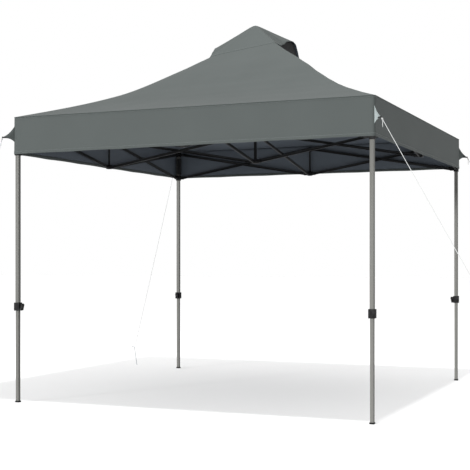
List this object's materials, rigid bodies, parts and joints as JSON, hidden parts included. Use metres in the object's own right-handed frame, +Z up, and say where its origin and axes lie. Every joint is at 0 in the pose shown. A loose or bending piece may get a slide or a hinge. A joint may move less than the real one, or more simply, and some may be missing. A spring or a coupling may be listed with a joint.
{
  "type": "pop-up canopy",
  "caption": "Square vented pop-up canopy on telescoping legs, with a folding scissor truss, a valance and tight guy ropes.",
  "frame": {"origin": "on the ground at the middle of the square of legs, under the peak", "axes": "+Z up; +X towards the right-hand side of the canopy; -Y towards its front"},
  "size_m": [4.8008, 3.306, 3.16],
  "materials": {
    "leg_paint": "silver-grey powder-coated steel tube, satin",
    "bar_paint": "black powder-coated steel tube, satin",
    "moulded_black": "moulded black nylon, fine texture",
    "cover_cloth": "grey coated polyester, plain weave",
    "guy_cord": "braided off-white polypropylene cord",
    "peg_steel": "bent zinc-plated steel wire"
  },
  "bodies": {
    "upper_hub": {"upper_hub": "moulded_black", "cover": "cover_cloth"},
    "inner_bar_right_falling": {"inner_bar_right_falling": "bar_paint"},
    "inner_bar_right_rising": {"inner_bar_right_rising": "bar_paint"},
    "mid_upper_right": {"mid_upper_right": "moulded_black"},
    "mid_lower_right": {"mid_lower_right": "moulded_black"},
    "right_bar_to_back_slider": {"right_bar_to_back_slider": "bar_paint"},
    "right_bar_to_back_bracket": {"right_bar_to_back_bracket": "bar_paint"},
    "outer_leg_back_right": {"outer_leg_back_right": "leg_paint", "guy_rope_back_right": "guy_cord", "peg_back_right": "peg_steel"},
    "slider_back_right": {"slider_back_right": "moulded_black"},
    "right_bar_to_front_slider": {"right_bar_to_front_slider": "bar_paint"},
    "right_bar_to_front_bracket": {"right_bar_to_front_bracket": "bar_paint"},
    "inner_bar_back_falling": {"inner_bar_back_falling": "bar_paint"},
    "inner_bar_back_rising": {"inner_bar_back_rising": "bar_paint"},
    "mid_upper_back": {"mid_upper_back": "moulded_black"},
    "mid_lower_back": {"mid_lower_back": "moulded_black"},
    "back_bar_to_left_slider": {"back_bar_to_left_slider": "bar_paint"},
    "back_bar_to_left_bracket": {"back_bar_to_left_bracket": "bar_paint"},
    "outer_leg_back_left": {"outer_leg_back_left": "leg_paint", "guy_rope_back_left": "guy_cord", "peg_back_left": "peg_steel"},
    "slider_back_left": {"slider_back_left": "moulded_black"},
    "back_bar_to_right_slider": {"back_bar_to_right_slider": "bar_paint"},
    "back_bar_to_right_bracket": {"back_bar_to_right_bracket": "bar_paint"},
    "inner_bar_left_falling": {"inner_bar_left_falling": "bar_paint"},
    "inner_bar_left_rising": {"inner_bar_left_rising": "bar_paint"},
    "mid_upper_left": {"mid_upper_left": "moulded_black"},
    "mid_lower_left": {"mid_lower_left": "moulded_black"},
    "left_bar_to_front_slider": {"left_bar_to_front_slider": "bar_paint"},
    "left_bar_to_front_bracket": {"left_bar_to_front_bracket": "bar_paint"},
    "outer_leg_front_left": {"outer_leg_front_left": "leg_paint", "guy_rope_front_left": "guy_cord", "peg_front_left": "peg_steel"},
    "slider_front_left": {"slider_front_left": "moulded_black"},
    "left_bar_to_back_slider": {"left_bar_to_back_slider": "bar_paint"},
    "left_bar_to_back_bracket": {"left_bar_to_back_bracket": "bar_paint"},
    "inner_bar_front_falling": {"inner_bar_front_falling": "bar_paint"},
    "inner_bar_front_rising": {"inner_bar_front_rising": "bar_paint"},
    "mid_upper_front": {"mid_upper_front": "moulded_black"},
    "mid_lower_front": {"mid_lower_front": "moulded_black"},
    "front_bar_to_right_slider": {"front_bar_to_right_slider": "bar_paint"},
    "front_bar_to_right_bracket": {"front_bar_to_right_bracket": "bar_paint"},
    "outer_leg_front_right": {"outer_leg_front_right": "leg_paint", "guy_rope_front_right": "guy_cord", "peg_front_right": "peg_steel"},
    "slider_front_right": {"slider_front_right": "moulded_black"},
    "front_bar_to_left_slider": {"front_bar_to_left_slider": "bar_paint"},
    "front_bar_to_left_bracket": {"front_bar_to_left_bracket": "bar_paint"},
    "lower_hub": {"lower_hub_and_pole": "moulded_black"},
    "pole_tip": {"pole_tip": "moulded_black"},
    "inner_leg_back_right": {"inner_leg_back_right": "leg_paint"},
    "lever_back_right": {"lever_back_right": "moulded_black"},
    "inner_leg_back_left": {"inner_leg_back_left": "leg_paint"},
    "lever_back_left": {"lever_back_left": "moulded_black"},
    "inner_leg_front_left": {"inner_leg_front_left": "leg_paint"},
    "lever_front_left": {"lever_front_left": "moulded_black"},
    "inner_leg_front_right": {"inner_leg_front_right": "leg_paint"},
    "lever_front_right": {"lever_front_right": "moulded_black"}
  },
  "joints": [
    {"name": "fold", "type": "hinge", "parent": "upper_hub", "child": "inner_bar_right_falling", "pos_m": [0.045, 0, 2.225], "axis": [0, 1, 0], "range_deg": [0, 75], "deforming": ["cover"]},
    {"name": "cross_inner_right", "type": "hinge", "parent": "inner_bar_right_falling", "child": "inner_bar_right_rising", "pos_m": [0.725, 0, 2.105], "axis": [0, 1, 0], "range_deg": [-150, 0]},
    {"name": "level_mid_upper_right", "type": "hinge", "parent": "inner_bar_right_rising", "child": "mid_upper_right", "pos_m": [1.405, 0, 2.225], "axis": [0, 1, 0], "range_deg": [0, 75]},
    {"name": "level_mid_lower_right", "type": "hinge", "parent": "inner_bar_right_falling", "child": "mid_lower_right", "pos_m": [1.405, 0, 1.985], "axis": [0, 1, 0], "range_deg": [-75, 0]},
    {"name": "fold_right_to_back", "type": "hinge", "parent": "mid_upper_right", "child": "right_bar_to_back_slider", "pos_m": [1.45, 0.045, 2.225], "axis": [-1, 0, 0], "range_deg": [0, 75]},
    {"name": "cross_right_to_back", "type": "hinge", "parent": "right_bar_to_back_slider", "child": "right_bar_to_back_bracket", "pos_m": [1.45, 0.725, 2.105], "axis": [-1, 0, 0], "range_deg": [-150, 0]},
    {"name": "level_leg_back_right", "type": "hinge", "parent": "right_bar_to_back_bracket", "child": "outer_leg_back_right", "pos_m": [1.45, 1.405, 2.225], "axis": [-1, 0, 0], "range_deg": [0, 75]},
    {"name": "level_slider_back_right", "type": "hinge", "parent": "right_bar_to_back_slider", "child": "slider_back_right", "pos_m": [1.45, 1.405, 1.985], "axis": [-1, 0, 0], "range_deg": [-75, 0]},
    {"name": "fold_right_to_front", "type": "hinge", "parent": "mid_upper_right", "child": "right_bar_to_front_slider", "pos_m": [1.45, -0.045, 2.225], "axis": [1, 0, 0], "range_deg": [0, 75]},
    {"name": "cross_right_to_front", "type": "hinge", "parent": "right_bar_to_front_slider", "child": "right_bar_to_front_bracket", "pos_m": [1.45, -0.725, 2.105], "axis": [1, 0, 0], "range_deg": [-150, 0]},
    {"name": "fold_inner_back", "type": "hinge", "parent": "upper_hub", "child": "inner_bar_back_falling", "pos_m": [0, 0.045, 2.225], "axis": [-1, 0, 0], "range_deg": [0, 75]},
    {"name": "cross_inner_back", "type": "hinge", "parent": "inner_bar_back_falling", "child": "inner_bar_back_rising", "pos_m": [0, 0.725, 2.105], "axis": [-1, 0, 0], "range_deg": [-150, 0]},
    {"name": "level_mid_upper_back", "type": "hinge", "parent": "inner_bar_back_rising", "child": "mid_upper_back", "pos_m": [0, 1.405, 2.225], "axis": [-1, 0, 0], "range_deg": [0, 75]},
    {"name": "level_mid_lower_back", "type": "hinge", "parent": "inner_bar_back_falling", "child": "mid_lower_back", "pos_m": [0, 1.405, 1.985], "axis": [-1, 0, 0], "range_deg": [-75, 0]},
    {"name": "fold_back_to_left", "type": "hinge", "parent": "mid_upper_back", "child": "back_bar_to_left_slider", "pos_m": [-0.045, 1.45, 2.225], "axis": [0, -1, 0], "range_deg": [0, 75]},
    {"name": "cross_back_to_left", "type": "hinge", "parent": "back_bar_to_left_slider", "child": "back_bar_to_left_bracket", "pos_m": [-0.725, 1.45, 2.105], "axis": [0, -1, 0], "range_deg": [-150, 0]},
    {"name": "level_leg_back_left", "type": "hinge", "parent": "back_bar_to_left_bracket", "child": "outer_leg_back_left", "pos_m": [-1.405, 1.45, 2.225], "axis": [0, -1, 0], "range_deg": [0, 75]},
    {"name": "level_slider_back_left", "type": "hinge", "parent": "back_bar_to_left_slider", "child": "slider_back_left", "pos_m": [-1.405, 1.45, 1.985], "axis": [0, -1, 0], "range_deg": [-75, 0]},
    {"name": "fold_back_to_right", "type": "hinge", "parent": "mid_upper_back", "child": "back_bar_to_right_slider", "pos_m": [0.045, 1.45, 2.225], "axis": [0, 1, 0], "range_deg": [0, 75]},
    {"name": "cross_back_to_right", "type": "hinge", "parent": "back_bar_to_right_slider", "child": "back_bar_to_right_bracket", "pos_m": [0.725, 1.45, 2.105], "axis": [0, 1, 0], "range_deg": [-150, 0]},
    {"name": "fold_inner_left", "type": "hinge", "parent": "upper_hub", "child": "inner_bar_left_falling", "pos_m": [-0.045, 0, 2.225], "axis": [0, -1, 0], "range_deg": [0, 75]},
    {"name": "cross_inner_left", "type": "hinge", "parent": "inner_bar_left_falling", "child": "inner_bar_left_rising", "pos_m": [-0.725, 0, 2.105], "axis": [0, -1, 0], "range_deg": [-150, 0]},
    {"name": "level_mid_upper_left", "type": "hinge", "parent": "inner_bar_left_rising", "child": "mid_upper_left", "pos_m": [-1.405, 0, 2.225], "axis": [0, -1, 0], "range_deg": [0, 75]},
    {"name": "level_mid_lower_left", "type": "hinge", "parent": "inner_bar_left_falling", "child": "mid_lower_left", "pos_m": [-1.405, 0, 1.985], "axis": [0, -1, 0], "range_deg": [-75, 0]},
    {"name": "fold_left_to_front", "type": "hinge", "parent": "mid_upper_left", "child": "left_bar_to_front_slider", "pos_m": [-1.45, -0.045, 2.225], "axis": [1, 0, 0], "range_deg": [0, 75]},
    {"name": "cross_left_to_front", "type": "hinge", "parent": "left_bar_to_front_slider", "child": "left_bar_to_front_bracket", "pos_m": [-1.45, -0.725, 2.105], "axis": [1, 0, 0], "range_deg": [-150, 0]},
    {"name": "level_leg_front_left", "type": "hinge", "parent": "left_bar_to_front_bracket", "child": "outer_leg_front_left", "pos_m": [-1.45, -1.405, 2.225], "axis": [1, 0, 0], "range_deg": [0, 75]},
    {"name": "level_slider_front_left", "type": "hinge", "parent": "left_bar_to_front_slider", "child": "slider_front_left", "pos_m": [-1.45, -1.405, 1.985], "axis": [1, 0, 0], "range_deg": [-75, 0]},
    {"name": "fold_left_to_back", "type": "hinge", "parent": "mid_upper_left", "child": "left_bar_to_back_slider", "pos_m": [-1.45, 0.045, 2.225], "axis": [-1, 0, 0], "range_deg": [0, 75]},
    {"name": "cross_left_to_back", "type": "hinge", "parent": "left_bar_to_back_slider", "child": "left_bar_to_back_bracket", "pos_m": [-1.45, 0.725, 2.105], "axis": [-1, 0, 0], "range_deg": [-150, 0]},
    {"name": "fold_inner_front", "type": "hinge", "parent": "upper_hub", "child": "inner_bar_front_falling", "pos_m": [0, -0.045, 2.225], "axis": [1, 0, 0], "range_deg": [0, 75]},
    {"name": "cross_inner_front", "type": "hinge", "parent": "inner_bar_front_falling", "child": "inner_bar_front_rising", "pos_m": [0, -0.725, 2.105], "axis": [1, 0, 0], "range_deg": [-150, 0]},
    {"name": "level_mid_upper_front", "type": "hinge", "parent": "inner_bar_front_rising", "child": "mid_upper_front", "pos_m": [0, -1.405, 2.225], "axis": [1, 0, 0], "range_deg": [0, 75]},
    {"name": "level_mid_lower_front", "type": "hinge", "parent": "inner_bar_front_falling", "child": "mid_lower_front", "pos_m": [0, -1.405, 1.985], "axis": [1, 0, 0], "range_deg": [-75, 0]},
    {"name": "fold_front_to_right", "type": "hinge", "parent": "mid_upper_front", "child": "front_bar_to_right_slider", "pos_m": [0.045, -1.45, 2.225], "axis": [0, 1, 0], "range_deg": [0, 75]},
    {"name": "cross_front_to_right", "type": "hinge", "parent": "front_bar_to_right_slider", "child": "front_bar_to_right_bracket", "pos_m": [0.725, -1.45, 2.105], "axis": [0, 1, 0], "range_deg": [-150, 0]},
    {"name": "level_leg_front_right", "type": "hinge", "parent": "front_bar_to_right_bracket", "child": "outer_leg_front_right", "pos_m": [1.405, -1.45, 2.225], "axis": [0, 1, 0], "range_deg": [0, 75]},
    {"name": "level_slider_front_right", "type": "hinge", "parent": "front_bar_to_right_slider", "child": "slider_front_right", "pos_m": [1.405, -1.45, 1.985], "axis": [0, 1, 0], "range_deg": [-75, 0]},
    {"name": "fold_front_to_left", "type": "hinge", "parent": "mid_upper_front", "child": "front_bar_to_left_slider", "pos_m": [-0.045, -1.45, 2.225], "axis": [0, -1, 0], "range_deg": [0, 75]},
    {"name": "cross_front_to_left", "type": "hinge", "parent": "front_bar_to_left_slider", "child": "front_bar_to_left_bracket", "pos_m": [-0.725, -1.45, 2.105], "axis": [0, -1, 0], "range_deg": [-150, 0]},
    {"name": "level_lower_hub", "type": "hinge", "parent": "inner_bar_right_rising", "child": "lower_hub", "pos_m": [0.045, 0, 1.985], "axis": [0, 1, 0], "range_deg": [0, 75]},
    {"name": "pole_tip_rise", "type": "slide", "parent": "lower_hub", "child": "pole_tip", "axis": [0, 0, 1], "range_m": [0, 0.29]},
    {"name": "leg_height_back_right", "type": "slide", "parent": "outer_leg_back_right", "child": "inner_leg_back_right", "axis": [0, 0, 1], "range_m": [0, 0.71]},
    {"name": "release_back_right", "type": "hinge", "parent": "outer_leg_back_right", "child": "lever_back_right", "pos_m": [1.4181, 1.45, 0.738], "axis": [0, -1, 0], "range_deg": [0, 60]},
    {"name": "leg_height_back_left", "type": "slide", "parent": "outer_leg_back_left", "child": "inner_leg_back_left", "axis": [0, 0, 1], "range_m": [0, 0.71]},
    {"name": "release_back_left", "type": "hinge", "parent": "outer_leg_back_left", "child": "lever_back_left", "pos_m": [-1.45, 1.4181, 0.738], "axis": [1, 0, 0], "range_deg": [0, 60]},
    {"name": "leg_height_front_left", "type": "slide", "parent": "outer_leg_front_left", "child": "inner_leg_front_left", "axis": [0, 0, 1], "range_m": [0, 0.71]},
    {"name": "release_front_left", "type": "hinge", "parent": "outer_leg_front_left", "child": "lever_front_left", "pos_m": [-1.4181, -1.45, 0.738], "axis": [0, 1, 0], "range_deg": [0, 60]},
    {"name": "leg_height_front_right", "type": "slide", "parent": "outer_leg_front_right", "child": "inner_leg_front_right", "axis": [0, 0, 1], "range_m": [0, 0.71]},
    {"name": "release_front_right", "type": "hinge", "parent": "outer_leg_front_right", "child": "lever_front_right", "pos_m": [1.45, -1.4181, 0.738], "axis": [-1, 0, 0], "range_deg": [0, 60]}
  ],
  "couplings": [
    {"joint": "cross_inner_right", "follows": "fold", "ratio": -2},
    {"joint": "level_mid_upper_right", "follows": "fold", "ratio": 1},
    {"joint": "level_mid_lower_right", "follows": "fold", "ratio": -1},
    {"joint": "fold_right_to_back", "follows": "fold", "ratio": 1},
    {"joint": "cross_right_to_back", "follows": "fold", "ratio": -2},
    {"joint": "level_leg_back_right", "follows": "fold", "ratio": 1},
    {"joint": "level_slider_back_right", "follows": "fold", "ratio": -1},
    {"joint": "fold_right_to_front", "follows": "fold", "ratio": 1},
    {"joint": "cross_right_to_front", "follows": "fold", "ratio": -2},
    {"joint": "fold_inner_back", "follows": "fold", "ratio": 1},
    {"joint": "cross_inner_back", "follows": "fold", "ratio": -2},
    {"joint": "level_mid_upper_back", "follows": "fold", "ratio": 1},
    {"joint": "level_mid_lower_back", "follows": "fold", "ratio": -1},
    {"joint": "fold_back_to_left", "follows": "fold", "ratio": 1},
    {"joint": "cross_back_to_left", "follows": "fold", "ratio": -2},
    {"joint": "level_leg_back_left", "follows": "fold", "ratio": 1},
    {"joint": "level_slider_back_left", "follows": "fold", "ratio": -1},
    {"joint": "fold_back_to_right", "follows": "fold", "ratio": 1},
    {"joint": "cross_back_to_right", "follows": "fold", "ratio": -2},
    {"joint": "fold_inner_left", "follows": "fold", "ratio": 1},
    {"joint": "cross_inner_left", "follows": "fold", "ratio": -2},
    {"joint": "level_mid_upper_left", "follows": "fold", "ratio": 1},
    {"joint": "level_mid_lower_left", "follows": "fold", "ratio": -1},
    {"joint": "fold_left_to_front", "follows": "fold", "ratio": 1},
    {"joint": "cross_left_to_front", "follows": "fold", "ratio": -2},
    {"joint": "level_leg_front_left", "follows": "fold", "ratio": 1},
    {"joint": "level_slider_front_left", "follows": "fold", "ratio": -1},
    {"joint": "fold_left_to_back", "follows": "fold", "ratio": 1},
    {"joint": "cross_left_to_back", "follows": "fold", "ratio": -2},
    {"joint": "fold_inner_front", "follows": "fold", "ratio": 1},
    {"joint": "cross_inner_front", "follows": "fold", "ratio": -2},
    {"joint": "level_mid_upper_front", "follows": "fold", "ratio": 1},
    {"joint": "level_mid_lower_front", "follows": "fold", "ratio": -1},
    {"joint": "fold_front_to_right", "follows": "fold", "ratio": 1},
    {"joint": "cross_front_to_right", "follows": "fold", "ratio": -2},
    {"joint": "level_leg_front_right", "follows": "fold", "ratio": 1},
    {"joint": "level_slider_front_right", "follows": "fold", "ratio": -1},
    {"joint": "fold_front_to_left", "follows": "fold", "ratio": 1},
    {"joint": "cross_front_to_left", "follows": "fold", "ratio": -2},
    {"joint": "level_lower_hub", "follows": "fold", "ratio": 1},
    {"joint": "pole_tip_rise", "follows": "fold", "m_per_rad": 0.22154}
  ]
}
